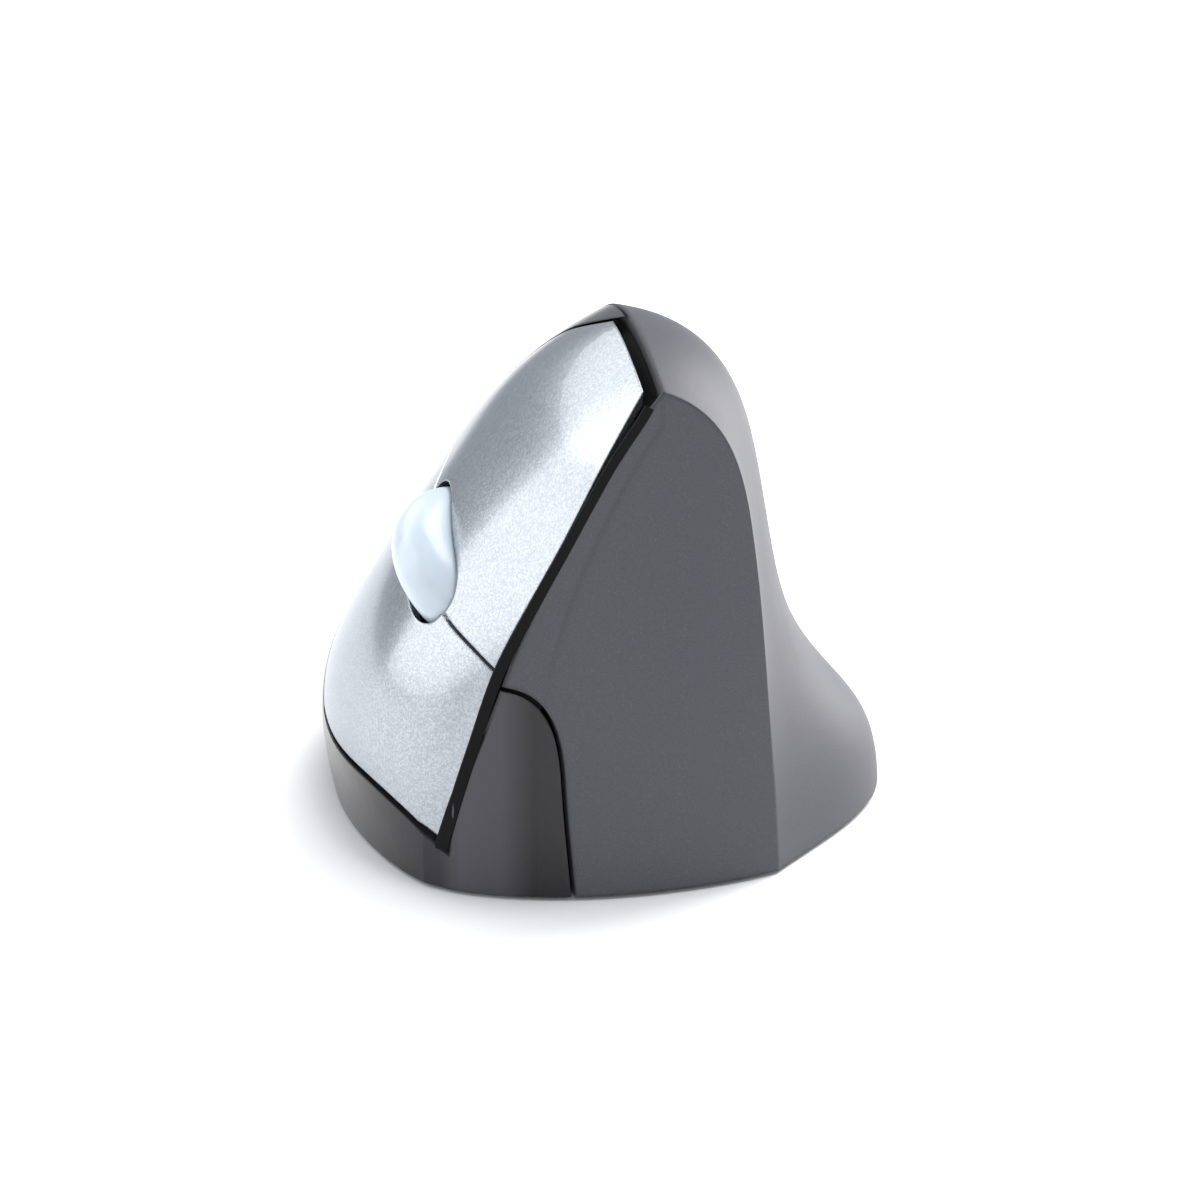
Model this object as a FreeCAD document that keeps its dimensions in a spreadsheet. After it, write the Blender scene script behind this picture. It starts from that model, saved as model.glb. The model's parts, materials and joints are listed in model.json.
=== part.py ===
import FreeCAD, Part
import Sketcher
import math
import os

# Vertical ("handshake") wireless computer mouse for the right hand.
# Millimetres, +Z up, nose towards -Y, buttons for the fingers on -X, thumb side on +X.
# The origin is on the table, under the middle of the optical sensor's window.

V = FreeCAD.Vector
Placement = FreeCAD.Placement
Rotation = FreeCAD.Rotation

doc = FreeCAD.newDocument("vertical_mouse")
sheet = doc.addObject("Spreadsheet::Sheet", "dims")

DIMENSIONS = {
    # casing
    "foot_height": 0.6,
    "wall": 2.3,
    "plate_thick": 2.2,
    "plate_fit": 0.15,
    "ridge_gap": 0.5,
    "channel": 1.2,
    "ridge_channel": 2.0,
    "corner_lip": 0.25,
    "arc_gap": 0.7,
    "button_thick": 1.6,
    "button_rear_gap": 0.4,
    "button_seam": 0.6,
    "frame_depth": 3.8,
    "frame_overlap": 4.0,
    # scroll wheel
    "wheel_radius": 14.0,
    "wheel_core_radius": 8.0,
    "wheel_width": 10.0,
    "wheel_round": 4.7,
    "wheel_rise": 5.1,
    "wheel_travel": 0.6,
    "wheel_gap": 0.6,
    "axle_radius": 1.2,
    "axle_length": 17.0,
    "axle_play": 0.05,
    "yoke_thick": 2.0,
    "yoke_length": 8.0,
    "click_arm_thick": 1.2,
    # boards
    "board_thick": 1.2,
    "button_board_length": 42.0,
    "button_board_width": 36.0,
    "button_board_depth": 14.0,
    "main_board_length": 58.0,
    "main_board_width": 30.0,
    "main_board_height": 9.0,
    "thumb_board_length": 43.0,
    "thumb_board_width": 12.0,
    "post_radius": 2.4,
    "screw_radius": 1.0,
    "screw_head_radius": 1.9,
    "screw_head_height": 1.2,
    # switches
    "switch_length": 12.8,
    "switch_width": 5.8,
    "switch_height": 5.5,
    "plunger_radius": 1.2,
    "plunger_height": 0.6,
    "stem_radius": 1.6,
    "stem_gap": 0.6,
    "encoder_size": 7.0,
    "encoder_thick": 4.4,
    "click_switch_size": 6.0,
    "click_switch_height": 3.4,
    # thumb buttons
    "thumb_button_length": 15.0,
    "thumb_button_height": 8.0,
    "thumb_button_gap": 0.35,
    "thumb_button_flange": 0.7,
    # battery and base
    "cell_radius": 7.1,
    "cell_length": 49.2,
    "cell_nub_radius": 2.7,
    "cell_nub_length": 1.2,
    "coil_wire": 0.4,
    "coil_length": 4.0,
    "contact_thick": 0.5,
    "contact_size": 11.0,
    "door_length": 56.0,
    "door_width": 17.0,
    "door_thick": 1.4,
    "door_travel": 4.0,
    "door_gap": 0.3,
    "foot_length": 14.0,
    "foot_width": 6.0,
    "slider_length": 4.0,
    "slider_width": 3.0,
    "slider_travel": 2.0,
    "sensor_length": 15.0,
    "sensor_width": 10.0,
    "sensor_height": 3.0,
    "lens_length": 18.0,
    "lens_width": 12.0,
    "window_radius": 4.0,
}


def fill_sheet():
    """One row per driving dimension: the name, and the value under an alias of that name."""
    for row, (name, value) in enumerate(DIMENSIONS.items(), start=1):
        sheet.set(f"A{row}", name)
        sheet.set(f"B{row}", str(value))
        sheet.setAlias(f"B{row}", name)
    doc.recompute()


fill_sheet()


def dim(name):
    return float(sheet.get(name))


FLOOR = dim("foot_height")
FAR = 120.0

# ---------------------------------------------------------------- outer form
# The skin is a cubic spline net. Each rail runs from nose to heel over the stations; the numbers of a
# rail are its (x, z) at each station. Neighbouring rails share the crease along the ridge.

STATIONS = [-62, -53, -44, -34, -22, -8, 8, 24, 38, 48, 54]
RAILS = {
    "finger_foot": [(-20, -8), (-25, -8), (-31, -8), (-36, -8), (-36.5, -8), (-36.5, -8),
                    (-34, -8), (-28, -10), (-18, -12), (-8, -14), (-2, -16)],
    "finger_low": [(-20, 5), (-25, 5), (-30.5, 5), (-37, 5), (-39.5, 5), (-40, 5),
                   (-37, 5), (-30, 3), (-20, -2), (-10, -7), (-3, -12)],
    "finger_belly": [(-18, 15), (-21, 15), (-27, 16), (-36.6, 17), (-42, 18), (-42, 18),
                     (-39.5, 17), (-32.5, 13), (-23, 6), (-12, -2), (-4, -9)],
    "finger_mid": [(-18.5, 34), (-21.5, 36), (-25.5, 38), (-30.3, 40), (-32, 41), (-32, 40),
                   (-29, 35), (-24, 26), (-17, 13), (-9, 3), (-3, -7)],
    "finger_high": [(-19, 50), (-18, 53), (-18, 56), (-18.5, 58.5), (-19, 59), (-19.5, 57),
                    (-18, 49), (-15, 37), (-11, 21), (-6, 7), (-1, -6)],
    "crown": [(-14, 61), (-13, 64), (-12, 68), (-11.5, 71.5), (-10.5, 72.5), (-9.5, 70.5),
              (-8.5, 62), (-8, 47), (-5, 27), (-2, 10), (1, -5)],
    "ridge": [(-7, 69.5), (-6, 72.5), (-4.7, 76.3), (-3, 78.2), (-0.5, 78.3), (2.3, 75),
              (3, 65.5), (3, 49), (2.5, 29), (2, 11), (2, -4)],
    "thumb_crown": [(2, 66), (3, 69), (6, 73), (11, 76), (14.5, 75.5), (17, 71),
                    (16, 60), (13, 45), (11, 26), (7, 9), (5, -5)],
    "thumb_neck": [(6, 50), (7, 51), (10.5, 53), (16.5, 54), (21, 53), (22.5, 50),
                   (21.5, 42), (19, 30), (15, 17), (10, 4), (7, -8)],
    "thumb_scoop": [(6, 26), (8.5, 27), (13, 28), (19, 29), (24, 28), (27, 25),
                    (27, 20), (24.5, 13), (20, 6), (13, -2), (8, -10)],
    "thumb_lip": [(1, 9), (7, 10), (17.5, 12), (30, 13), (39.5, 12.5), (43.3, 11),
                  (43.5, 8), (38, 4), (29, 0), (19, -5), (10, -12)],
    "thumb_edge": [(-2, 0), (6.5, 0), (19, 1), (33, 3), (42, 3), (45.3, 3),
                   (45.5, 1), (41, 0), (32, -4), (21, -9), (11, -14)],
    "thumb_foot": [(-2, -8), (6.5, -8), (19, -8), (32.5, -8), (41, -8), (43, -8),
                   (42.5, -8), (39, -10), (31, -12), (21, -14), (12, -17)],
}
RAIL_NAMES = list(RAILS)
CREASE = RAIL_NAMES.index("ridge")

# Plan of the nose: a flat facet at the finger corner, then a gently bowed front face.
NOSE_FACET = [(-42.4, -25.5), (-32.5, -38.5)]
NOSE_FACE = [(-32.5, -38.5), (-17.5, -46.9), (-8, -49), (2, -49.6), (12, -48.6)]
NOSE_END = (72, -41)


def inset_poles(depth):
    """Poles of the skin net moved inwards by depth, along the net's own normals."""
    net = [[V(x, y, z) for (x, z), y in zip(RAILS[name], STATIONS)] for name in RAIL_NAMES]
    if depth == 0:
        return net
    last_row, last_col = len(net) - 1, len(STATIONS) - 1
    moved = []
    for i, row in enumerate(net):
        moved.append([])
        for j, pole in enumerate(row):
            across = net[min(i + 1, last_row)][j] - net[max(i - 1, 0)][j]
            along = row[min(j + 1, last_col)] - row[max(j - 1, 0)]
            inwards = along.cross(across).normalize()
            moved[-1].append(pole + inwards * depth)
        for end in (0, -1):
            moved[-1][end].y = row[end].y
    return moved


def spline_face(poles):
    def knots(count):
        spans = count - 3
        return [float(k) for k in range(spans + 1)], [4] + [1] * (spans - 1) + [4]

    across_knots, across_mults = knots(len(poles))
    along_knots, along_mults = knots(len(poles[0]))
    surface = Part.BSplineSurface()
    surface.buildFromPolesMultsKnots(
        poles, across_mults, along_mults, across_knots, along_knots, False, False, 3, 3)
    return surface.toShape()


def skin(depth):
    """Solid inside the skin, its surface lying depth under the outside."""
    poles = inset_poles(depth)
    sides = [spline_face(poles[: CREASE + 1]), spline_face(poles[CREASE:])]

    def edge_between(face, start, end):
        for edge in face.Edges:
            ends = [vertex.Point for vertex in edge.Vertexes]
            if min(p.distanceToPoint(start) for p in ends) < 1e-5:
                if min(p.distanceToPoint(end) for p in ends) < 1e-5:
                    return edge
        raise ValueError("no such edge")

    def cap(column):
        start, ridge, end = (poles[i][column] for i in (0, CREASE, -1))
        edges = [edge_between(sides[0], start, ridge), edge_between(sides[1], ridge, end)]
        return Part.Face(Part.Wire(edges + [Part.makeLine(end, start)]))

    feet = [edge_between(sides[0], poles[0][0], poles[0][-1]),
            edge_between(sides[1], poles[-1][0], poles[-1][-1])]
    shell = Part.makeShell(sides + [cap(0), cap(-1), Part.makeRuledSurface(*feet)])
    shell.sewShape()
    solid = Part.makeSolid(shell)
    if solid.Volume < 0:
        solid.reverse()
    return solid


def spline_edge(points):
    curve = Part.BSplineCurve()
    curve.interpolate([V(*p) for p in points])
    return curve.toShape()


def offset_points(points, distance):
    """Points of a plane line moved to its left by distance."""
    moved = []
    for i, (a, b) in enumerate(points):
        before, after = points[max(i - 1, 0)], points[min(i + 1, len(points) - 1)]
        da, db = after[0] - before[0], after[1] - before[1]
        length = math.hypot(da, db)
        moved.append((a - db / length * distance, b + da / length * distance))
    return moved


def polygon_edges(points):
    return [Part.makeLine(V(*a), V(*b)) for a, b in zip(points, points[1:])]


def prism(edges, direction):
    return Part.Face(Part.Wire(edges)).extrude(direction)


def behind_front(depth, facet_depth=None):
    """Everything behind the nose's front face and its facet, starting depth behind them."""
    low = -20.0
    facet = offset_points(NOSE_FACET, depth if facet_depth is None else facet_depth)
    face = offset_points(NOSE_FACE, depth)
    corner = ((facet[-1][0] + face[0][0]) / 2, (facet[-1][1] + face[0][1]) / 2)
    if facet_depth is not None:
        corner = (face[0][0], face[0][1])
    facet[-1] = face[0] = corner
    end = (NOSE_END[0], NOSE_END[1] + depth)
    facet_line = [(*facet[0], low), (*corner, low)]
    rest = [(*face[-1], low), (*end, low), (FAR, FAR, low), (-FAR, FAR, low), (*facet[0], low)]
    edges = polygon_edges(facet_line) + [spline_edge([(*p, low) for p in face])]
    return prism(edges + polygon_edges(rest), V(0, 0, FAR))


def finger_side_of_ridge(gap):
    """Everything on the finger side of the ridge, gap away from it."""
    low = -20.0
    poles = [V(x - gap, y, low) for (x, _), y in zip(RAILS["ridge"], STATIONS)]
    curve = Part.BSplineCurve()
    spans = len(poles) - 3
    curve.buildFromPolesMultsKnots(
        poles, [4] + [1] * (spans - 1) + [4], [float(k) for k in range(spans + 1)], False, 3)
    start, end = poles[0], poles[-1]
    far_end = [end, V(end.x, FAR, low), V(-FAR, FAR, low), V(-FAR, -FAR, low),
               V(start.x, -FAR, low), start]
    return prism([curve.toShape()] + polygon_edges(far_end), V(0, 0, FAR))


# The finger buttons' outline, seen from the side as (y, z).
BUTTONS_BOTTOM = [(-47, -0.5), (-41, 4.6), (-37.6, 6.9), (-34.1, 9.3), (-30.3, 11), (-21.3, 12.9),
                  (-8, 13.2), (2, 14.6)]
BUTTONS_REAR = [(2, 14.6), (7.5, 21), (9.5, 33), (8, 45), (3.5, 56), (-3, 65.5), (-9, 70.8),
                (-15.7, 73.8), (-22.1, 76.1), (-28.3, 78.2), (-38, 81)]
SEAM = [(-47, 30.8), (-41.2, 33.6), (-36, 36.1), (-29.5, 38.6), (-18, 44.4), (-7, 49.4),
        (-3.8, 51.4), (-0.7, 53.2), (12, 59)]


def buttons_prism(bottom_gap, rear_gap):
    """Prism along X over the finger buttons' outline, grown by the gaps."""
    bottom = [(y, z - bottom_gap) for y, z in BUTTONS_BOTTOM]
    rear = offset_points(BUTTONS_REAR, -rear_gap)
    rear[0] = bottom[-1] = (rear[0][0], bottom[-1][1])
    edges = [spline_edge([(-FAR, y, z) for y, z in bottom]),
             spline_edge([(-FAR, y, z) for y, z in rear])]
    front = [(-FAR, *rear[-1]), (-FAR, -FAR, rear[-1][1]), (-FAR, -FAR, bottom[0][1]),
             (-FAR, *bottom[0])]
    return prism(edges + polygon_edges(front), V(2 * FAR, 0, 0))


def above_seam(shift):
    """Everything above the seam between the finger buttons, the seam moved up by shift."""
    seam = offset_points(SEAM, shift)
    top = 100.0
    around = [(-FAR, *seam[-1]), (-FAR, seam[-1][0], top), (-FAR, seam[0][0], top),
              (-FAR, *seam[0])]
    return prism([spline_edge([(-FAR, y, z) for y, z in seam])] + polygon_edges(around),
                 V(2 * FAR, 0, 0))


# The finger buttons' front edge along the nose, bottom to top, and the way its side wall faces.
BUTTONS_FRONT = [(-35.5, -33.5, -3), (-33.2, -37.6, 6.9), (-32.3, -38.7, 13.7), (-30.9, -39.8, 22.2),
                 (-27.8, -41.2, 33.7), (-24.1, -43.3, 42.5), (-19.8, -45.5, 51.4), (-13.7, -46.8, 63.3),
                 (-7.5, -45.6, 72.2), (-3.5, -44.3, 79)]
EDGE_OUT = V(-0.82, -0.42, 0.38)


def behind_button_edge():
    """Everything behind the finger buttons' front edge, cut along the way its wall faces."""
    across = V(0, 1, 0).cross(EDGE_OUT)
    frame = Placement(V(), Rotation(across.cross(EDGE_OUT) * -1, across * -1, EDGE_OUT, "ZXY"))
    flat = [frame.inverse().multVec(V(*p)) for p in BUTTONS_FRONT]
    curve = [(p.x, p.y, -FAR) for p in flat]
    side = 1 if frame.inverse().multVec(V(0, FAR, 0)).x > 0 else -1
    around = [curve[-1], (side * FAR, curve[-1][1], -FAR), (side * FAR, curve[0][1], -FAR), curve[0]]
    solid = prism([spline_edge(curve)] + polygon_edges(around), V(0, 0, 2 * FAR))
    solid.Placement = frame
    return solid


# The curved seam on the front face, seen from the front as (x, z).
ARC_SEAM = [(-40, 32.4), (-27.2, 32), (-23.2, 30.8), (-20.4, 27.4), (-19.1, 23), (-18.4, 14.7),
            (-17.2, 0), (-16.6, -8)]


def below_arc(gap):
    """The corner of the nose that belongs to the finger side, gap inside the curved seam."""
    arc = offset_points(ARC_SEAM, -gap)
    start, back = -60.0, 36.0
    around = [(arc[-1][0], start, arc[-1][1]), (-50, start, arc[-1][1]), (-50, start, arc[0][1]),
              (arc[0][0], start, arc[0][1])]
    edges = [spline_edge([(x, start, z) for x, z in arc])] + polygon_edges(around)
    return prism(edges, V(0, back, 0))


# Where the buttons break through, the facet doesn't bound their window.
FACET_OPEN = -6.0

WORLD = Placement()
SKINS = {}


def form(depth):
    """Body of the mouse inset by depth, reaching under the table so that it can cut hollows."""
    if depth not in SKINS:
        SKINS[depth] = skin(depth)
    return SKINS[depth]


def slab(low, high):
    return Part.makeBox(2 * FAR, 2 * FAR, high - low, V(-FAR, -FAR, low))


def feature(label, shape):
    """Part::Feature for a free-form piece."""
    piece = doc.addObject("Part::Feature", label)
    piece.Label = label
    piece.Shape = shape
    return piece


# ---------------------------------------------------------------- helpers for bound pieces


def bind(obj, **expressions):
    """Bind properties to the sheet; a dimension in braces is looked up in it."""
    for name, text in expressions.items():
        obj.setExpression(name.replace("__", "."), text.replace("{", "dims.").replace("}", ""))


def block(name, length, width, height, at, frame=WORLD):
    """Part::Box centred on at in plan and standing on it, in the given frame."""
    box = doc.addObject("Part::Box", name)
    bind(box, Length=length, Width=width, Height=height)
    doc.recompute()
    corner = V(at.x - box.Length.Value / 2, at.y - box.Width.Value / 2, at.z)
    box.Placement = frame.multiply(Placement(corner, Rotation()))
    return box


def rod(name, radius, height, at, frame=WORLD, axis=V(0, 0, 1)):
    """Part::Cylinder starting at a point and running along axis, in the given frame."""
    cylinder = doc.addObject("Part::Cylinder", name)
    bind(cylinder, Radius=radius, Height=height)
    cylinder.Placement = frame.multiply(Placement(at, Rotation(V(0, 0, 1), axis)))
    return cylinder


def fuse(label, pieces):
    fused = doc.addObject("Part::MultiFuse", label)
    fused.Label = label
    fused.Shapes = pieces
    return fused


def cut(label, base, tool):
    result = doc.addObject("Part::Cut", label)
    result.Label = label
    result.Base = base
    result.Tool = tool
    return result


def plane_sketch(body, role, name):
    sketch = body.newObject("Sketcher::SketchObject", name)
    plane = next(f for f in body.Origin.OriginFeatures if f.Role == role)
    sketch.AttachmentSupport = (plane, "")
    sketch.MapMode = "FlatFace"
    return sketch


def draw_rectangle(sketch, width, height, centre_x="0", centre_y="0"):
    """Rectangle in a sketch whose sizes and centre are bound to the sheet."""
    corners = [V(-5, -4, 0), V(5, -4, 0), V(5, 4, 0), V(-5, 4, 0)]
    first = sketch.GeometryCount
    for a, b in zip(corners, corners[1:] + corners[:1]):
        sketch.addGeometry(Part.LineSegment(a, b), False)
    for k in range(4):
        sketch.addConstraint(Sketcher.Constraint("Coincident", first + k, 2, first + (k + 1) % 4, 1))
    for k in range(4):
        kind = "Vertical" if k % 2 else "Horizontal"
        sketch.addConstraint(Sketcher.Constraint(kind, first + k))
    sizes = [("DistanceX", first, 1, first, 2, width), ("DistanceY", first + 1, 1, first + 1, 2, height)]
    for kind, g1, p1, g2, p2, text in sizes:
        index = sketch.addConstraint(Sketcher.Constraint(kind, g1, p1, g2, p2, 1.0))
        bind(sketch, **{f"Constraints[{index}]": text})
    lows = [("DistanceX", f"({centre_x}) - ({width}) / 2"), ("DistanceY", f"({centre_y}) - ({height}) / 2")]
    for kind, text in lows:
        index = sketch.addConstraint(Sketcher.Constraint(kind, -1, 1, first, 1, -5.0))
        bind(sketch, **{f"Constraints[{index}]": text})


def draw_circle(sketch, radius, centre=(0.0, 0.0)):
    """Circle in a sketch at a fixed centre, its radius bound to the sheet."""
    index = sketch.addGeometry(Part.Circle(V(*centre, 0), V(0, 0, 1), 3.0), False)
    radius_index = sketch.addConstraint(Sketcher.Constraint("Radius", index, 3.0))
    bind(sketch, **{f"Constraints[{radius_index}]": radius})
    for kind, value in zip(("DistanceX", "DistanceY"), centre):
        sketch.addConstraint(Sketcher.Constraint(kind, -1, 1, index, 3, value))


def pad(body, sketch, length, name):
    feature_pad = body.newObject("PartDesign::Pad", name)
    feature_pad.Profile = sketch
    bind(feature_pad, Length=length)
    sketch.Visibility = False
    return feature_pad


# ---------------------------------------------------------------- places


def on_skin(y, z, side=-1):
    """Point where the skin is met at (y, z), looking along X from the finger side or the thumb side."""
    inside = form(0).common(Part.makeLine(V(-FAR, y, z), V(FAR, y, z)))
    xs = [vertex.X for vertex in inside.Vertexes]
    return V(min(xs) if side < 0 else max(xs), y, z)


def finger_frame():
    """Frame on the skin under the middle of the scroll wheel: X rolls to the rear, Z points out."""
    front, rear = on_skin(-28.5, 39), on_skin(-7, 49.4)
    low, high = on_skin(-14.5, 37.3), on_skin(-21.5, 51.7)
    roll = (rear - front).normalize()
    out = (high - low).cross(roll).normalize()
    return Placement(on_skin(-18, 44.4), Rotation(roll, out.cross(roll), out, "ZXY"))


FINGER = finger_frame()

THUMB_ROW_TILT = 16.0
THUMB_ROW_CENTRE = V(0, -3.5, 49.5)
THUMB_BOARD_X = 2.8
THUMB_SPACING = 17.6


def thumb_frame(x=0.0):
    """Frame of the thumb buttons: X along the row to the rear, Z points out to the thumb."""
    tilt = math.radians(THUMB_ROW_TILT)
    along = V(0, math.cos(tilt), -math.sin(tilt))
    centre = V(x, THUMB_ROW_CENTRE.y, THUMB_ROW_CENTRE.z)
    return Placement(centre, Rotation(along, V(0, math.sin(tilt), math.cos(tilt)), V(1, 0, 0), "ZXY"))


BOARD_N = -dim("button_board_depth")
SWITCH_U = -6.0
INDEX_W = -13.0
LOWER_W = 15.0
FRAME_POSTS = [(5.0, -14.5), (5.0, 17.0), (21.0, -14.0), (21.0, 16.0)]
PLUNGER_TOP_N = BOARD_N + dim("switch_height") + dim("plunger_height")
AXLE_N = dim("wheel_rise") - dim("wheel_radius")
PLATE_TOP = FLOOR + dim("plate_thick")
BOSSES = [(-32.5, -20), (-25, 19), (35, -22), (32.5, 16)]
BOARD_CENTRE = (-9.8, -3.0)
BOARD_POSTS = [(-21, -28), (1.8, -28), (-16, 22), (1.8, 22)]
CELL_X = 13.0
CELL_Z = 10.2
CELL_START = -33.0
DOOR_CENTRE = (13.0, -8.0)
SLIDER_AT = (-12.0, 14.0)
FEET = [(-24, -34), (30, -13), (-8, 33), (20, 29)]
CASE_SCREW_LENGTH = 6.0
BOSS_TOP = 9.0


# ---------------------------------------------------------------- casing


def outer_body():
    return form(0).common(behind_front(0)).common(slab(FLOOR, FAR))


def wheel_clearance(extra):
    """The wheel's own barrel shape grown by extra, for the openings around it."""
    width = dim("wheel_width") + 2 * extra
    disc = Part.makeCylinder(dim("wheel_radius") + extra, width, V(0, -width / 2, AXLE_N), V(0, 1, 0))
    rims = [edge for edge in disc.Edges if edge.isClosed() and hasattr(edge.Curve, "Radius")]
    disc = disc.makeFillet(dim("wheel_round"), rims)
    disc.Placement = FINGER
    return disc


def button_window(rear_gap):
    """Where the finger buttons break through the casing, without their own gaps."""
    window = buttons_prism(dim("channel"), rear_gap)
    front = behind_front(dim("corner_lip"), FACET_OPEN)
    return window.common(front).common(finger_side_of_ridge(0))


def bosses(places):
    """Screw bosses on the inside of the casing, with their pilot holes."""
    radius = dim("post_radius") + 1.4
    solids = []
    for x, y in places:
        tall = BOSS_TOP - PLATE_TOP
        boss = Part.makeCylinder(radius, tall, V(x, y, PLATE_TOP))
        rib = Part.makeBox(12, 2, tall, V(x if x > 0 else x - 12, y - 1, PLATE_TOP))
        solids.append(boss.fuse(rib).common(form(0.6)))
    return solids


def boss_holes(places):
    return [Part.makeCylinder(dim("screw_radius"), BOSS_TOP - PLATE_TOP, V(x, y, PLATE_TOP - 0.5))
            for x, y in places]


def casing_shells():
    wall = dim("wall")
    shell = outer_body().cut(form(wall).common(behind_front(wall)))
    window = button_window(dim("button_rear_gap"))
    recess = window.cut(form(dim("frame_depth")))
    finger_zone = behind_front(wall).common(finger_side_of_ridge(0))
    finger_part = behind_front(wall).common(finger_side_of_ridge(dim("ridge_gap")))
    thumb = shell.cut(finger_zone).cut(below_arc(0)).cut(recess)
    finger = shell.common(finger_part.fuse(below_arc(dim("arc_gap")))).cut(recess)
    return thumb, finger


def thumb_opening(index, grow):
    """Prism through the thumb side for one thumb button, grown all round."""
    length = dim("thumb_button_length") + 2 * grow
    height = dim("thumb_button_height") + 2 * grow
    middle = (index - 0.5) * THUMB_SPACING
    prism_box = Part.makeBox(length, height, 40, V(middle - length / 2, -height / 2, 0))
    uprights = [e for e in prism_box.Edges if abs(e.Vertexes[0].Z - e.Vertexes[1].Z) > 1]
    rounded = prism_box.makeFillet(3.0 + grow, uprights)
    rounded.Placement = thumb_frame(THUMB_BOARD_X)
    return rounded


def thumb_posts():
    """Two posts that carry the thumb board, on the inside of the thumb shell."""
    start = THUMB_BOARD_X + dim("board_thick")
    reach = dim("thumb_board_length") / 2 - 1.8
    posts = []
    for sign in (-1, 1):
        post = Part.makeCylinder(dim("post_radius"), 30, V(sign * reach, 0, 0))
        post.Placement = thumb_frame(start)
        posts.append(post.common(form(1.0)))
    return posts


def main_solid(shape):
    """The largest solid of a cut shape, without the crumbs that the seams leave."""
    return max(shape.Solids, key=lambda solid: solid.Volume).removeSplitter()


def make_casing():
    thumb, finger = casing_shells()
    for piece in bosses(BOSSES[2:]) + thumb_posts():
        thumb = thumb.fuse(piece)
    for piece in boss_holes(BOSSES[2:]):
        thumb = thumb.cut(piece)
    for index in (0, 1):
        thumb = thumb.cut(thumb_opening(index, dim("thumb_button_gap")))
    for piece in bosses(BOSSES[:2]):
        finger = finger.fuse(piece)
    for piece in boss_holes(BOSSES[:2]):
        finger = finger.cut(piece)
    feature("thumb_side_shell", main_solid(thumb))
    feature("finger_side_shell", main_solid(finger))


def stem(w, radius, low, high):
    """Rod through the finger side, above or below the wheel, pointing out of the skin."""
    rod_shape = Part.makeCylinder(radius, high - low, V(SWITCH_U, w, low))
    rod_shape.Placement = FINGER
    return rod_shape


def make_finger_buttons():
    """Upper and lower finger buttons: curved plates with a stem over their switch."""
    plate = form(0).cut(form(dim("button_thick")))
    plate = plate.common(behind_button_edge()).common(finger_side_of_ridge(dim("ridge_channel")))
    plate = plate.common(buttons_prism(0, 0))
    plate = plate.common(behind_front(dim("corner_lip") + 0.3, 0.0))
    plate = plate.cut(wheel_clearance(dim("wheel_gap")))
    half = dim("button_seam") / 2
    low = PLUNGER_TOP_N + dim("stem_gap")
    for label, w in (("index_button", INDEX_W), ("lower_button", LOWER_W)):
        if label == "index_button":
            piece = plate.common(above_seam(half))
        else:
            piece = plate.cut(above_seam(-half))
        pin = stem(w, dim("stem_radius"), low, 6.0).common(form(0.8))
        feature(label, main_solid(piece.fuse(pin)))


def make_button_frame():
    """Black inner frame that the buttons rest over; it shows as the dark channel around them."""
    wall, depth = dim("wall"), dim("frame_depth")
    layer = form(wall).cut(form(depth)).common(slab(PLATE_TOP + 1.5, FAR))
    grown = buttons_prism(dim("channel") + 2.2, dim("frame_overlap"))
    under = layer.common(grown).common(behind_front(wall + 0.05)).common(finger_side_of_ridge(-2.0))
    window = button_window(dim("button_rear_gap")).common(behind_front(dim("corner_lip") + 0.5))
    frame = under.fuse(layer.common(window))
    frame = frame.cut(wheel_clearance(dim("wheel_gap") + 0.3))
    for w in (INDEX_W, LOWER_W):
        frame = frame.cut(stem(w, dim("stem_radius") + 0.7, -20, 10))
    for u, w in FRAME_POSTS:
        post = Part.makeCylinder(dim("post_radius"), -BOARD_N + 4, V(u, w, BOARD_N))
        post.Placement = FINGER
        hole = Part.makeCylinder(dim("screw_radius"), 5, V(u, w, BOARD_N - 0.1))
        hole.Placement = FINGER
        frame = frame.fuse(post.common(form(wall + 0.6))).cut(hole)
    feature("button_frame", main_solid(frame))


# ---------------------------------------------------------------- scroll wheel


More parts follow.
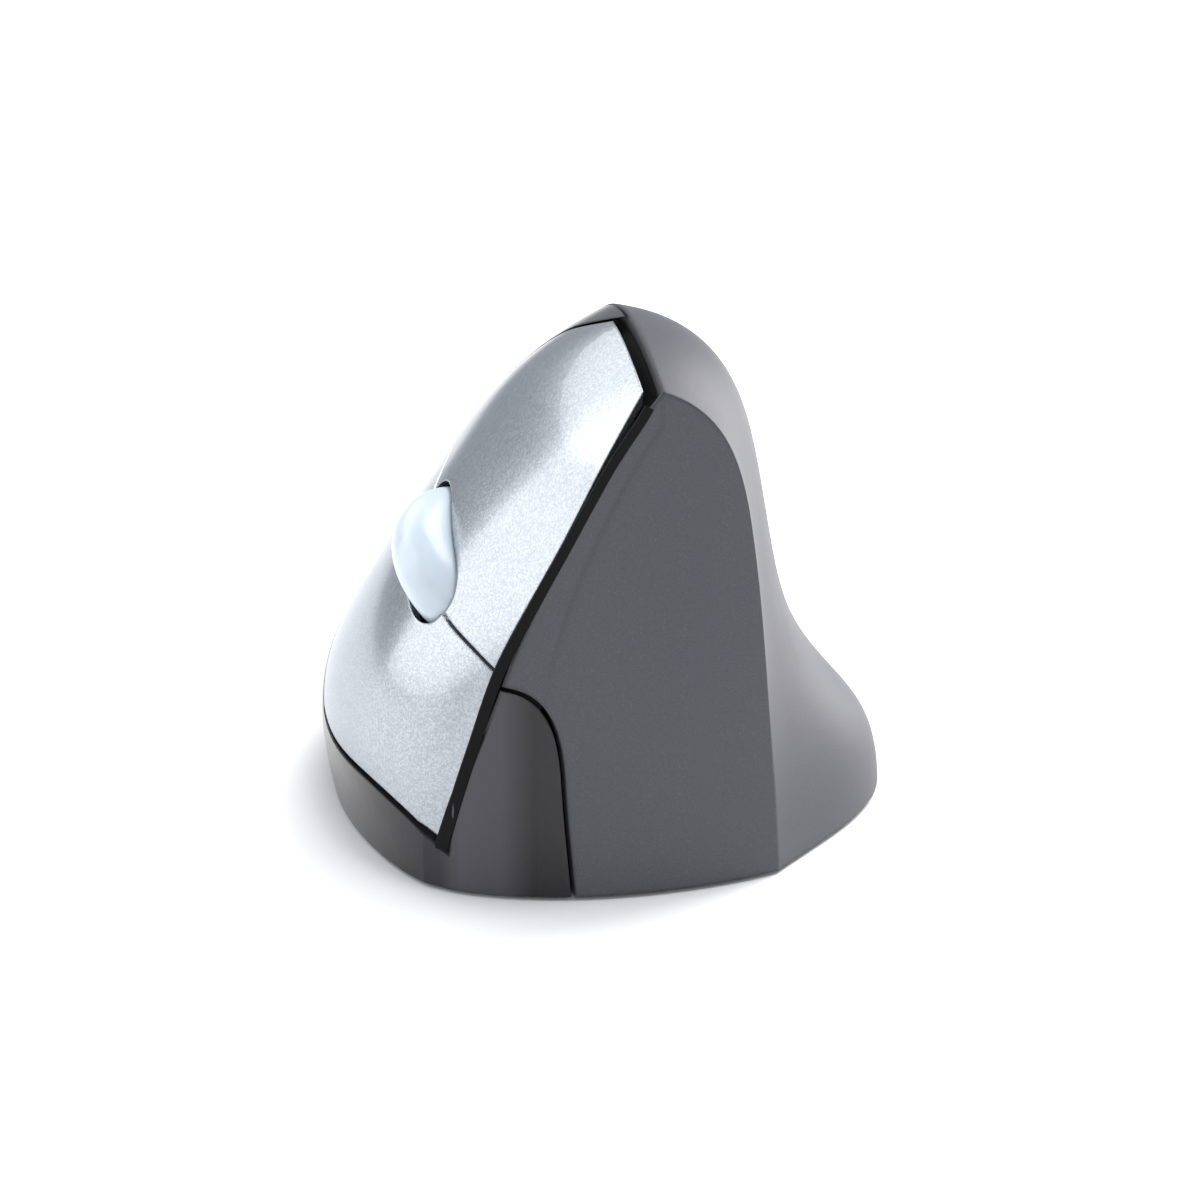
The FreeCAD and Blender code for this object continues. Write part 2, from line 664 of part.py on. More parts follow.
def make_wheel():
    """Hub, tyre and axle; the wheel turns about the axle's line, which runs across the frame."""
    centre = V(0, 0, AXLE_N)
    turn = Placement(centre, Rotation(V(0, 0, 1), V(0, 1, 0)))
    at_axle = FINGER.multiply(turn)

    tyre = doc.addObject("PartDesign::Body", "scroll_wheel_tyre")
    tyre.Label = "scroll_wheel_tyre"
    ring = plane_sketch(tyre, "XY_Plane", "tyre_ring")
    draw_circle(ring, "{wheel_radius}")
    draw_circle(ring, "{wheel_core_radius}")
    tyre_pad = pad(tyre, ring, "{wheel_width}", "tyre_pad")
    tyre_pad.Midplane = True
    doc.recompute()
    rims = [f"Edge{i}" for i, edge in enumerate(tyre_pad.Shape.Edges, start=1)
            if hasattr(edge.Curve, "Radius") and edge.Curve.Radius > dim("wheel_core_radius") + 1
            and edge.isClosed()]
    rounding = tyre.newObject("PartDesign::Fillet", "tyre_round")
    rounding.Base = (tyre_pad, rims)
    bind(rounding, Radius="{wheel_round}")
    tyre.Placement = at_axle

    half = dim("wheel_width") / 2 - 0.4
    disc = doc.addObject("Part::Cylinder", "hub_disc")
    bind(disc, Radius="{wheel_core_radius}", Height="{wheel_width} - 0.8")
    disc.Placement = at_axle.multiply(Placement(V(0, 0, -half), Rotation()))
    bore = doc.addObject("Part::Cylinder", "hub_bore")
    bind(bore, Radius="{axle_radius} + {axle_play}", Height="{wheel_width} + 2")
    bore.Placement = at_axle.multiply(Placement(V(0, 0, -half - 1), Rotation()))
    cut("scroll_wheel_hub", disc, bore)

    axle = doc.addObject("Part::Cylinder", "wheel_axle")
    axle.Label = "wheel_axle"
    bind(axle, Radius="{axle_radius}", Height="{axle_length}")
    axle.Placement = at_axle.multiply(Placement(V(0, 0, -dim("axle_length") / 2), Rotation()))


CHEEK_IN = dim("wheel_width") / 2 + 0.4
CHEEK_OUT = CHEEK_IN + dim("yoke_thick")
YOKE_TOP = AXLE_N + 3.0
YOKE_BASE = AXLE_N - dim("wheel_radius") - 1.2
ARM_END = 18.5
ARM_LOW = BOARD_N + dim("click_switch_height") + dim("plunger_height") + dim("wheel_travel") + 0.1


def make_wheel_carrier():
    """Yoke that holds the axle and is pushed in with the wheel; its arm reaches the click switch."""
    cheeks = []
    thick, length = dim("yoke_thick"), dim("yoke_length")
    for side in (-1, 1):
        w = side * (CHEEK_IN + thick / 2)
        at = V(-length / 2, w - thick / 2, YOKE_BASE)
        cheeks.append(Part.makeBox(length, thick, YOKE_TOP - YOKE_BASE, at))
    base = Part.makeBox(length, 2 * CHEEK_OUT, thick, V(-length / 2, -CHEEK_OUT, YOKE_BASE - thick))
    arm = Part.makeBox(ARM_END + 1, thick, dim("click_arm_thick"), V(-1, CHEEK_IN, ARM_LOW))
    riser = Part.makeBox(2, thick, YOKE_TOP - ARM_LOW, V(2, CHEEK_IN, ARM_LOW))
    yoke = cheeks[0].multiFuse([cheeks[1], base, arm, riser])
    bore = Part.makeCylinder(dim("axle_radius"), 3 * CHEEK_OUT, V(0, -1.5 * CHEEK_OUT, AXLE_N), V(0, 1, 0))
    carrier = feature("wheel_carrier", yoke.cut(bore).removeSplitter())
    carrier.Placement = FINGER

    size = dim("encoder_size")
    body = Part.makeBox(size, dim("encoder_thick"), size,
                        V(-size / 2, CHEEK_OUT, AXLE_N - size / 2))
    shaft_hole = Part.makeCylinder(dim("axle_radius"), 3 * CHEEK_OUT, V(0, 0, AXLE_N), V(0, 1, 0))
    encoder = feature("scroll_encoder", body.cut(shaft_hole))
    encoder.Placement = FINGER


# ---------------------------------------------------------------- boards and switches


def microswitch(label, at, frame):
    """Snap switch: case with a round plunger on top."""
    case = block(f"{label}_case", "{switch_length}", "{switch_width}", "{switch_height}", at, frame)
    top = V(at.x, at.y, at.z + dim("switch_height"))
    plunger = rod(f"{label}_plunger", "{plunger_radius}", "{plunger_height}", top, frame)
    fuse(label, [case, plunger])


def make_button_board():
    """Board under the finger buttons: a U around the wheel, with its switches and screws."""
    board = doc.addObject("PartDesign::Body", "button_board")
    board.Label = "button_board"
    outline = plane_sketch(board, "XY_Plane", "button_board_outline")
    draw_rectangle(outline, "{button_board_length}", "{button_board_width}", "5.5", "1")
    plate = pad(board, outline, "{board_thick}", "button_board_pad")
    doc.recompute()
    gap = plane_sketch(board, "XY_Plane", "wheel_slot_outline")
    draw_rectangle(gap, "32", "2 * {wheel_width} - 3", "-2", "0")
    holes = plane_sketch(board, "XY_Plane", "screw_hole_outline")
    for place in FRAME_POSTS:
        draw_circle(holes, "{screw_radius} + 0.1", place)
    for name, sketch in (("wheel_slot", gap), ("screw_holes", holes)):
        pocket = board.newObject("PartDesign::Pocket", name)
        pocket.Profile = sketch
        pocket.Type = 1
        pocket.Midplane = True
        sketch.Visibility = False
        doc.recompute()
    board.Placement = FINGER.multiply(Placement(V(0, 0, BOARD_N - dim("board_thick")), Rotation()))

    microswitch("index_microswitch", V(SWITCH_U, INDEX_W, BOARD_N), FINGER)
    microswitch("lower_microswitch", V(SWITCH_U, LOWER_W, BOARD_N), FINGER)
    click_at = V(17.2, CHEEK_IN + dim("yoke_thick") / 2, BOARD_N)
    case = block("click_case", "{click_switch_size}", "{click_switch_size}", "{click_switch_height}",
                 click_at, FINGER)
    top = click_at + V(0, 0, dim("click_switch_height"))
    plunger = rod("click_plunger", "{plunger_radius}", "{plunger_height}", top, FINGER)
    fuse("wheel_click_switch", [case, plunger])
    screws("board_screws", [V(u, w, BOARD_N - dim("board_thick")) for u, w in FRAME_POSTS], 4.5, FINGER)


def screws(label, heads, length, frame=WORLD):
    """Pan-head screws in one node; each head sits below its point and the shank runs up."""
    solids = []
    for at in heads:
        head = Part.makeCylinder(dim("screw_head_radius"), dim("screw_head_height"),
                                 at - V(0, 0, dim("screw_head_height")))
        slot = Part.makeBox(2.6, 0.5, 0.5, at - V(1.3, 0.25, dim("screw_head_height")))
        shank = Part.makeCylinder(dim("screw_radius") - 0.05, length, at)
        solids.append(head.cut(slot).fuse(shank))
    group = feature(label, Part.makeCompound(solids))
    group.Placement = frame


def make_main_board():
    board = doc.addObject("PartDesign::Body", "main_board")
    board.Label = "main_board"
    outline = plane_sketch(board, "XY_Plane", "main_board_outline")
    draw_rectangle(outline, "{main_board_width}", "{main_board_length}")
    pad(board, outline, "{board_thick}", "main_board_pad")
    holes = plane_sketch(board, "XY_Plane", "main_board_holes")
    origin = V(-BOARD_CENTRE[0], -BOARD_CENTRE[1], 0)
    draw_circle(holes, "{window_radius} - 1", (origin.x, origin.y))
    for x, y in BOARD_POSTS:
        draw_circle(holes, "{screw_radius} + 0.1", (x + origin.x, y + origin.y))
    doc.recompute()
    pocket = board.newObject("PartDesign::Pocket", "main_board_openings")
    pocket.Profile = holes
    pocket.Type = 1
    pocket.Midplane = True
    holes.Visibility = False
    doc.recompute()
    low = dim("main_board_height")
    board.Placement = Placement(V(*BOARD_CENTRE, low), Rotation())

    top = low + dim("board_thick")
    sensor = block("optical_sensor", "{sensor_width}", "{sensor_length}", "{sensor_height}",
                   V(0, 0, top))
    sensor.Label = "optical_sensor"
    chip = block("radio_chip", "6", "6", "1", V(-13, -12, top))
    chip.Label = "radio_chip"
    block_at = V(*SLIDER_AT, low - 3.4)
    switch = block("power_switch", "8", "4", "3.4", block_at)
    switch.Label = "power_switch"
    screws_down("board_feet_screws", [V(x, y, top) for x, y in BOARD_POSTS])


def screws_down(label, heads):
    """Pan-head screws driven from above, in one node."""
    solids = []
    for at in heads:
        head = Part.makeCylinder(dim("screw_head_radius"), dim("screw_head_height"), at)
        slot = Part.makeBox(2.6, 0.5, 0.5, at + V(-1.3, -0.25, dim("screw_head_height") - 0.5))
        shank = Part.makeCylinder(dim("screw_radius") - 0.05, 5.0, at - V(0, 0, 5))
        solids.append(head.cut(slot).fuse(shank))
    feature(label, Part.makeCompound(solids))


def make_thumb_side():
    """Two thumb buttons, their board on two posts, and their switches."""
    row = thumb_frame(THUMB_BOARD_X)
    board = block("thumb_board", "{thumb_board_length}", "{thumb_board_width}", "{board_thick}",
                  V(0, 0, 0), row)
    board.Label = "thumb_board"
    top = dim("board_thick")
    stem_low = top + dim("switch_height") + dim("plunger_height") + dim("stem_gap") + 0.2
    flange_low = dim("wall") + 0.3
    plate = form(0).cut(form(flange_low + 1.0))
    flange_layer = form(flange_low).cut(form(flange_low + 1.0))
    for index, label in enumerate(("forward_button", "back_button")):
        middle = (index - 0.5) * THUMB_SPACING
        microswitch(f"{label}_microswitch", V(middle, 0, top), row)
        cap = plate.common(thumb_opening(index, 0))
        flange = flange_layer.common(thumb_opening(index, dim("thumb_button_flange")))
        pin = Part.makeCylinder(dim("stem_radius"), 30, V(middle, 0, stem_low))
        pin.Placement = row
        pin = pin.common(form(1.0))
        feature(label, main_solid(cap.multiFuse([flange, pin])))


# ---------------------------------------------------------------- base


def make_base_plate():
    inner = form(dim("wall") + dim("plate_fit"))
    inner = inner.common(behind_front(dim("wall") + dim("plate_fit")))
    plate = inner.common(slab(FLOOR, PLATE_TOP))
    add = []
    for x, y in BOARD_POSTS:
        add.append(Part.makeCylinder(dim("post_radius"), dim("main_board_height") - PLATE_TOP,
                                     V(x, y, PLATE_TOP)))
    bay = dim("cell_length") + dim("cell_nub_length") + dim("contact_thick")
    for y in (CELL_START - dim("coil_length") - 1.5, CELL_START + bay):
        bay_wall = Part.makeBox(13, 1.5, 13, V(CELL_X - 6.5, y, PLATE_TOP))
        add.append(bay_wall.common(inner))
    plate = plate.multiFuse(add)
    door_gap = dim("door_gap")
    length, width = dim("door_length") + 2 * door_gap, dim("door_width") + 2 * door_gap
    recess = Part.makeBox(width, length + dim("door_travel"), dim("door_thick") + 0.15,
                          V(DOOR_CENTRE[0] - width / 2, DOOR_CENTRE[1] - length / 2, FLOOR))
    bay_hole = Part.makeBox(15, 53.5, 3, V(CELL_X - 7.5, CELL_START - 3.5, FLOOR))
    window = Part.makeCylinder(dim("window_radius"), 3, V(0, 0, FLOOR))
    slot_length = dim("slider_length") + dim("slider_travel") + 0.4
    slider_slot = Part.makeBox(slot_length, dim("slider_width") + 0.4, 3,
                               V(SLIDER_AT[0] - dim("slider_length") / 2 - 0.2,
                                 SLIDER_AT[1] - dim("slider_width") / 2 - 0.2, FLOOR))
    tools = [recess, bay_hole, window, slider_slot]
    for x, y in BOARD_POSTS:
        tools.append(Part.makeCylinder(dim("screw_radius"), 6, V(x, y, PLATE_TOP + 0.8)))
    for x, y in BOSSES:
        tools.append(Part.makeCylinder(dim("screw_radius") + 0.1, 4, V(x, y, FLOOR)))
        tools.append(Part.makeCylinder(dim("screw_head_radius") + 0.3, dim("screw_head_height") + 0.2,
                                       V(x, y, FLOOR)))
    for tool in tools:
        plate = plate.cut(tool)
    feature("base_plate", main_solid(plate))
    head_seat = FLOOR + dim("screw_head_height") + 0.2
    screws("case_screws", [V(x, y, head_seat) for x, y in BOSSES], CASE_SCREW_LENGTH)


def make_feet():
    """Four low-friction pads that the mouse glides on."""
    pads = []
    radius = dim("foot_width") / 2 - 0.1
    for x, y in FEET:
        pad_shape = Part.makeBox(dim("foot_length"), dim("foot_width"), FLOOR,
                                 V(x - dim("foot_length") / 2, y - dim("foot_width") / 2, 0))
        uprights = [e for e in pad_shape.Edges if abs(e.Vertexes[0].Z - e.Vertexes[1].Z) > 0.1]
        pads.append(pad_shape.makeFillet(radius, uprights))
    feature("glide_feet", Part.makeCompound(pads))


def make_power_slider():
    """Knob in the base plate's slot, with a plate above it that keeps it in."""
    x, y = SLIDER_AT
    knob = block("slider_knob", "{slider_length}", "{slider_width}", "{plate_thick} - 0.2",
                 V(x, y, FLOOR + 0.2))
    keeper = block("slider_keeper", "{slider_length} + 5", "{slider_width} + 2.4", "0.8",
                   V(x, y, PLATE_TOP))
    fuse("power_slider", [knob, keeper])


def make_battery():
    """AA cell lying along Y over its door, between a coil and a plate contact."""
    along = V(0, 1, 0)
    can = rod("cell_can", "{cell_radius}", "{cell_length}", V(CELL_X, CELL_START, CELL_Z), WORLD, along)
    nub_at = V(CELL_X, CELL_START + dim("cell_length"), CELL_Z)
    nub = rod("cell_nub", "{cell_nub_radius}", "{cell_nub_length}", nub_at, WORLD, along)
    fuse("aa_battery", [can, nub])
    end = nub_at.y + dim("cell_nub_length")
    plate = doc.addObject("Part::Box", "contact_plate")
    plate.Label = "contact_plate"
    bind(plate, Length="{contact_size}", Width="{contact_thick}", Height="{contact_size}")
    half = dim("contact_size") / 2
    plate.Placement = Placement(V(CELL_X - half, end, CELL_Z - half), Rotation())

    helix = Part.makeLongHelix(1.1, dim("coil_length") - 2 * dim("coil_wire") - 0.05, 3.2, 8)
    path = Part.Wire(helix.Edges)
    start = path.Vertexes[0].Point
    ring = Part.Wire(Part.makeCircle(dim("coil_wire"), start, V(0, 1, 0.05)))
    coil = path.makePipeShell([ring], True, True)
    spring = feature("contact_spring", coil)
    low = CELL_START - dim("coil_length") + dim("coil_wire")
    spring.Placement = Placement(V(CELL_X, low, CELL_Z), Rotation(V(0, 0, 1), along))


def make_battery_door():
    """Sliding door: a plate with a finger groove."""
    door = doc.addObject("PartDesign::Body", "battery_door")
    door.Label = "battery_door"
    outline = plane_sketch(door, "XY_Plane", "door_outline")
    draw_rectangle(outline, "{door_width}", "{door_length}")
    pad(door, outline, "{door_thick}", "door_pad")
    doc.recompute()
    grip = plane_sketch(door, "XY_Plane", "grip_outline")
    draw_rectangle(grip, "{door_width} - 7", "1.6", "0", "{door_length} / 2 - 6")
    groove = door.newObject("PartDesign::Pocket", "grip_groove")
    groove.Profile = grip
    groove.Reversed = True
    bind(groove, Length="{door_thick} / 2")
    grip.Visibility = False
    door.Placement = Placement(V(*DOOR_CENTRE, FLOOR + 0.05), Rotation())


def make_lens():
    """Clear lens block between the sensor and the window, with a round foot in the window."""
    top = dim("main_board_height") - 0.1
    lens_block = block("lens_block", "{lens_width}", "{lens_length}", str(top - PLATE_TOP),
                       V(0, 0, PLATE_TOP))
    foot = rod("lens_foot", "{window_radius} - 0.2", str(PLATE_TOP - FLOOR - 0.6), V(0, 0, FLOOR + 0.6))
    fuse("sensor_lens", [lens_block, foot])


def make_cables():
    """Two flat flex cables from the switch boards down to the main board."""
    board_top = dim("main_board_height") + dim("board_thick")
    at = FINGER.multVec(V(10, 15, BOARD_N - dim("board_thick")))
    strip = Part.makeBox(0.4, 8, 40, V(at.x, at.y - 4, board_top))
    beyond = Part.makeBox(200, 200, 100, V(-100, -100, BOARD_N - dim("board_thick")))
    beyond.Placement = FINGER
    feature("button_flex", strip.cut(beyond))
    low_corner = thumb_frame(THUMB_BOARD_X).multVec(V(16, 0, 0))
    thumb_strip = Part.makeBox(0.4, 8, low_corner.z + 2 - board_top,
                               V(THUMB_BOARD_X - 0.4, low_corner.y - 4, board_top))
    feature("thumb_flex", thumb_strip)


# ---------------------------------------------------------------- assembly and files


def export_parts(node_names):
    os.makedirs("parts", exist_ok=True)
    doc.recompute()
    for obj in doc.Objects:
        if "Invalid" in obj.State or "Error" in obj.State:
            raise RuntimeError(f"{obj.Label} did not recompute")
    for name in node_names:
        node = doc.getObjectsByLabel(name)[0]
        if node.Shape.isNull() or not node.Shape.isValid():
            raise RuntimeError(f"{name} has no valid shape")
        node.Shape.exportStep(f"parts/{name}.step")


NODES = [
    "thumb_side_shell", "finger_side_shell", "button_frame", "index_button", "lower_button",
    "scroll_wheel_tyre", "scroll_wheel_hub", "wheel_axle", "wheel_carrier", "scroll_encoder",
    "button_board", "index_microswitch", "lower_microswitch", "wheel_click_switch", "board_screws",
    "main_board", "optical_sensor", "radio_chip", "power_switch", "board_feet_screws",
    "thumb_board", "forward_button", "back_button", "forward_button_microswitch",
    "back_button_microswitch", "base_plate", "case_screws", "glide_feet", "power_slider",
    "aa_battery", "contact_plate", "contact_spring", "battery_door", "sensor_lens",
    "button_flex", "thumb_flex",
]

make_casing()
make_finger_buttons()
make_button_frame()
make_wheel()
make_wheel_carrier()
make_button_board()
make_main_board()
make_thumb_side()
make_base_plate()
make_feet()
make_power_slider()
make_battery()
make_battery_door()
make_lens()
make_cables()
export_parts(NODES)
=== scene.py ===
import json
import math

import bpy
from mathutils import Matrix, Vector
from mathutils.bvhtree import BVHTree


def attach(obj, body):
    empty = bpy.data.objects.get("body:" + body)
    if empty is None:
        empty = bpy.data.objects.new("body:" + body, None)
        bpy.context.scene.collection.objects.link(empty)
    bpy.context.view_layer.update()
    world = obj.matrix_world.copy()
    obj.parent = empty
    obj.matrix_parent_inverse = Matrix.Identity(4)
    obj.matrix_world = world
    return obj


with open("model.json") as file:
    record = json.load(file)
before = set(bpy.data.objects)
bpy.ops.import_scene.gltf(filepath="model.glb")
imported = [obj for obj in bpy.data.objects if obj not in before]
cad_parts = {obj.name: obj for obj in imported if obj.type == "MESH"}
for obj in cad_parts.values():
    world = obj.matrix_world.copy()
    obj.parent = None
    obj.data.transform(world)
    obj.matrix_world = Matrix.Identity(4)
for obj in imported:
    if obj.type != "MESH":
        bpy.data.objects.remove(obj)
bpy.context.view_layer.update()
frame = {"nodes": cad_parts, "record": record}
NODES = frame["nodes"]


# ---------------------------------------------------------------- node helpers


class Look:
    """A node material being put together: one Principled shader and what feeds it."""

    def __init__(self, name):
        self.material = bpy.data.materials.new(name)
        self.material.use_nodes = True
        self.tree = self.material.node_tree
        self.shader = next(n for n in self.tree.nodes if n.type == "BSDF_PRINCIPLED")
        coords = self.tree.nodes.new("ShaderNodeTexCoord")
        self.place = coords.outputs["Object"]

    def set(self, **values):
        """Plain values, set on the shader's own sockets."""
        for key, value in values.items():
            self.shader.inputs[key.replace("_", " ")].default_value = value
        return self

    def noise(self, scale, detail=2.0, rough=0.5, stretch=None):
        node = self.tree.nodes.new("ShaderNodeTexNoise")
        node.inputs["Scale"].default_value = scale
        node.inputs["Detail"].default_value = detail
        node.inputs["Roughness"].default_value = rough
        place = self.place
        if stretch:
            mapping = self.tree.nodes.new("ShaderNodeMapping")
            mapping.inputs["Scale"].default_value = stretch
            self.tree.links.new(place, mapping.inputs["Vector"])
            place = mapping.outputs["Vector"]
        self.tree.links.new(place, node.inputs["Vector"])
        return node.outputs["Fac"]

    def cells(self, scale):
        """A random value for each small cell."""
        node = self.tree.nodes.new("ShaderNodeTexVoronoi")
        node.inputs["Scale"].default_value = scale
        self.tree.links.new(self.place, node.inputs["Vector"])
        split = self.tree.nodes.new("ShaderNodeSeparateColor")
        self.tree.links.new(node.outputs["Color"], split.inputs["Color"])
        return split.outputs["Red"]

    def bands(self, scale, direction="X"):
        node = self.tree.nodes.new("ShaderNodeTexWave")
        node.bands_direction = direction
        node.inputs["Scale"].default_value = scale
        self.tree.links.new(self.place, node.inputs["Vector"])
        return node.outputs["Fac"]

    def across(self, low, high, axis="X"):
        """0..1 over a stretch of one axis, in metres."""
        split = self.tree.nodes.new("ShaderNodeSeparateXYZ")
        self.tree.links.new(self.place, split.inputs["Vector"])
        node = self.tree.nodes.new("ShaderNodeMapRange")
        node.inputs["From Min"].default_value = low
        node.inputs["From Max"].default_value = high
        self.tree.links.new(split.outputs[axis], node.inputs["Value"])
        return node.outputs["Result"]

    def ramp(self, value, stops):
        """Colours by value; stops are (position, colour)."""
        node = self.tree.nodes.new("ShaderNodeValToRGB")
        marks = node.color_ramp.elements
        while len(marks) < len(stops):
            marks.new(0.5)
        for mark, (position, colour) in zip(marks, stops):
            mark.position = position
            mark.color = (*colour, 1.0)
        self.tree.links.new(value, node.inputs["Fac"])
        return node.outputs["Color"]

    def spread(self, value, low, high):
        """Value from 0..1 mapped to low..high."""
        node = self.tree.nodes.new("ShaderNodeMapRange")
        node.inputs["To Min"].default_value = low
        node.inputs["To Max"].default_value = high
        self.tree.links.new(value, node.inputs["Value"])
        return node.outputs["Result"]

    def feed(self, socket, value):
        self.tree.links.new(value, self.shader.inputs[socket])

    def relief(self, value, distance, strength=1.0, edge=0.0):
        """Bump from a texture, over edges rounded by the given radius in metres."""
        bump = self.tree.nodes.new("ShaderNodeBump")
        bump.inputs["Strength"].default_value = strength
        bump.inputs["Distance"].default_value = distance
        self.tree.links.new(value, bump.inputs["Height"])
        if edge:
            soft = self.tree.nodes.new("ShaderNodeBevel")
            soft.samples = 6
            soft.inputs["Radius"].default_value = edge
            self.tree.links.new(soft.outputs["Normal"], bump.inputs["Normal"])
        self.tree.links.new(bump.outputs["Normal"], self.shader.inputs["Normal"])
        return self


def tone(colour, factor):
    return tuple(min(1.0, c * factor) for c in colour)


def plastic(name, colour, rough, grain, depth, variation=0.12, edge=0.0003, **extra):
    """Moulded plastic: slight drift in colour and shine, with a fine grain in relief."""
    look = Look(name).set(**extra)
    drift = look.noise(90.0, 3.0)
    darker, lighter = tone(colour, 1 - variation), tone(colour, 1 + variation)
    look.feed("Base Color", look.ramp(drift, [(0.3, darker), (0.7, lighter)]))
    look.feed("Roughness", look.spread(look.noise(45.0, 4.0), rough * 0.8, rough * 1.2))
    return look.relief(look.noise(grain, 3.0, 0.6), depth, edge=edge)


# ---------------------------------------------------------------- materials


def soft_touch():
    """Satin dark grey paint with a fine speckled texture."""
    look = Look("soft_touch_shell").set(Specular_IOR_Level=0.35)
    speckle = look.noise(5200.0, 2.0, 0.7)
    look.feed("Base Color", look.ramp(speckle, [
        (0.34, (0.060, 0.060, 0.072)), (0.62, (0.073, 0.073, 0.087)), (0.76, (0.108, 0.108, 0.127))]))
    look.feed("Roughness", look.spread(look.noise(40.0, 4.0), 0.40, 0.54))
    return look.relief(look.noise(4200.0, 3.0, 0.6), 0.00002, 0.3, edge=0.0011)


def glossy_shell():
    """Polished dark plastic with faint hairline wear, and a painted reflection in its colour across x.
    """
    look = Look("glossy_shell").set(Specular_IOR_Level=0.28, Coat_Weight=0.2, Coat_Roughness=0.03)
    # Painted reflection: the base colour is lighter towards the outer finger side (low x) and darkest
    # further in, standing in for reflected light.
    look.feed("Base Color", look.ramp(look.across(-0.034, -0.016), [
        (0.0, (0.022, 0.020, 0.024)), (0.12, (0.060, 0.059, 0.070)), (0.40, (0.050, 0.049, 0.058)),
        (0.62, (0.010, 0.009, 0.011)), (1.0, (0.014, 0.013, 0.016))]))
    wear = look.noise(900.0, 5.0, 0.7, stretch=(1.0, 0.15, 0.4))
    look.feed("Roughness", look.spread(wear, 0.16, 0.30))
    return look.relief(look.noise(300.0, 2.0), 0.00001, 0.3, edge=0.0005)


def metallic_button():
    """Silver paint with fine flake under a thin clear coat."""
    look = Look("metallic_button").set(Metallic=0.85, Coat_Weight=0.5, Coat_Roughness=0.03,
                                       Specular_Tint=(0.55, 0.58, 0.61, 1.0))
    flake = look.cells(4200.0)
    look.feed("Base Color", look.ramp(flake, [
        (0.0, (0.33, 0.36, 0.39)), (0.5, (0.39, 0.42, 0.45)), (1.0, (0.48, 0.51, 0.54))]))
    look.feed("Roughness", look.spread(look.noise(70.0, 4.0), 0.21, 0.24))
    return look.relief(flake, 0.000002, 0.2, edge=0.0004)


def translucent_wheel():
    """Pale rubbery plastic that lets some light through."""
    look = Look("translucent_wheel").set(Subsurface_Weight=0.4, Subsurface_Scale=0.003, Coat_Weight=0.3,
                                         Coat_Roughness=0.12)
    look.shader.inputs["Subsurface Radius"].default_value = (0.7, 0.9, 1.0)
    look.feed("Base Color", look.ramp(look.noise(120.0, 3.0), [
        (0.3, (0.52, 0.60, 0.67)), (0.7, (0.60, 0.68, 0.74))]))
    look.feed("Roughness", look.spread(look.noise(160.0, 4.0), 0.30, 0.42))
    return look.relief(look.noise(1800.0, 2.0), 0.00001, 0.4, edge=0.0004)


def metal(name, colour, rough, stretch):
    """Bare metal with fine scratches, drawn out along an axis whose stretch is under 1."""
    look = Look(name).set(Metallic=1.0)
    scratch = look.noise(1500.0, 5.0, 0.7, stretch=stretch)
    look.feed("Base Color", look.ramp(scratch, [(0.3, tone(colour, 0.86)), (0.7, tone(colour, 1.08))]))
    look.feed("Roughness", look.spread(scratch, rough * 0.7, rough * 1.4))
    return look.relief(scratch, 0.000008, 0.4)


def circuit_board():
    """Green solder mask with lighter tracks under it."""
    look = Look("circuit_board").set(Coat_Weight=0.4, Coat_Roughness=0.15)
    tracks = look.bands(190.0, "DIAGONAL")
    look.feed("Base Color", look.ramp(tracks, [
        (0.80, (0.008, 0.065, 0.026)), (0.88, (0.022, 0.135, 0.055))]))
    look.feed("Roughness", look.spread(look.noise(400.0, 3.0), 0.28, 0.45))
    return look.relief(tracks, 0.00002, 0.4)


def flat_cable():
    """Amber film over copper strips."""
    look = Look("flat_cable").set(Coat_Weight=0.5, Coat_Roughness=0.2)
    strips = look.bands(330.0, "Y")
    look.feed("Base Color", look.ramp(strips, [(0.35, (0.42, 0.17, 0.03)), (0.65, (0.70, 0.36, 0.10))]))
    look.feed("Roughness", look.spread(look.noise(500.0, 3.0), 0.30, 0.48))
    return look.relief(strips, 0.00003, 0.4)


def cell_wrap():
    """Printed wrap of a battery: dark body, copper-toned band at the positive end."""
    look = Look("cell_wrap").set(Coat_Weight=0.6, Coat_Roughness=0.1)
    look.feed("Base Color", look.ramp(look.across(-0.033, 0.018, "Y"), [
        (0.0, (0.03, 0.03, 0.035)), (0.70, (0.03, 0.03, 0.035)), (0.705, (0.62, 0.30, 0.12)),
        (0.96, (0.62, 0.30, 0.12)), (0.965, (0.66, 0.66, 0.68))]))
    scuff = look.noise(700.0, 5.0, 0.7)
    look.feed("Roughness", look.spread(scuff, 0.22, 0.4))
    return look.relief(scuff, 0.00001, 0.3)


def clear_plastic():
    look = Look("clear_plastic").set(Transmission_Weight=0.9, IOR=1.49)
    haze = look.noise(350.0, 3.0)
    look.feed("Base Color", look.ramp(haze, [(0.3, (0.86, 0.90, 0.93)), (0.7, (0.95, 0.97, 0.98))]))
    look.feed("Roughness", look.spread(haze, 0.03, 0.10))
    return look.relief(haze, 0.000005, 0.3)


